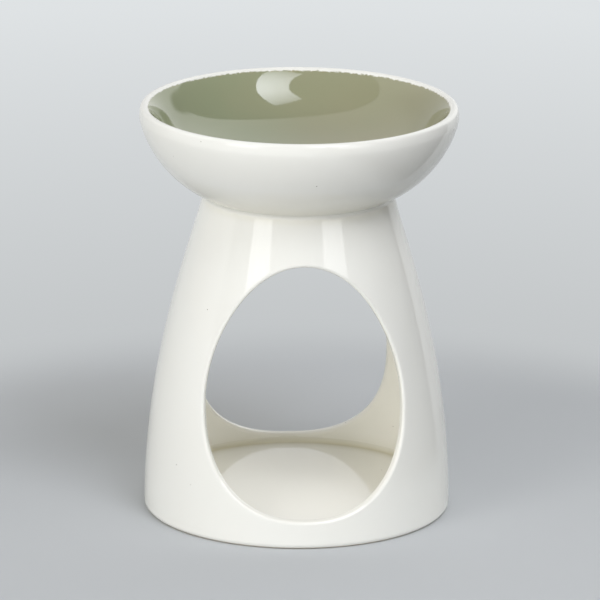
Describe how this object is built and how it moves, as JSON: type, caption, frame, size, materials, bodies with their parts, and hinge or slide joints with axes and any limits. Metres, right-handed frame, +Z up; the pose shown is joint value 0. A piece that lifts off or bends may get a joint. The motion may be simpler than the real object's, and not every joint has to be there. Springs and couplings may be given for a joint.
{
  "type": "wax melt burner",
  "caption": "Glazed pottery wax melt burner: bell-shaped body with see-through egg-shaped window, tea light floor inside and a shallow glaze-lined dish for wax on top.",
  "frame": {"origin": "centre of the foot, on the surface that the burner stands on", "axes": "+Z up along the axis of the turned body; -Y out of the front window, +Y out of the back window; +X to the right seen from the front"},
  "size_m": [0.0922, 0.0922, 0.12],
  "materials": {
    "white_glaze": "glossy cream-white glaze on cast earthenware, bare clay on the foot ring",
    "chamber_glaze": "glossy cream-white glaze above, bare clay below",
    "dish_glaze_white": "glossy cream-white glaze",
    "sage_glaze": "glossy sage green glaze with a ragged upper edge"
  },
  "bodies": {
    "root": {"burner_body": "white_glaze", "tealight_floor": "chamber_glaze", "wax_dish": "dish_glaze_white", "dish_glaze": "sage_glaze"}
  },
  "joints": []
}
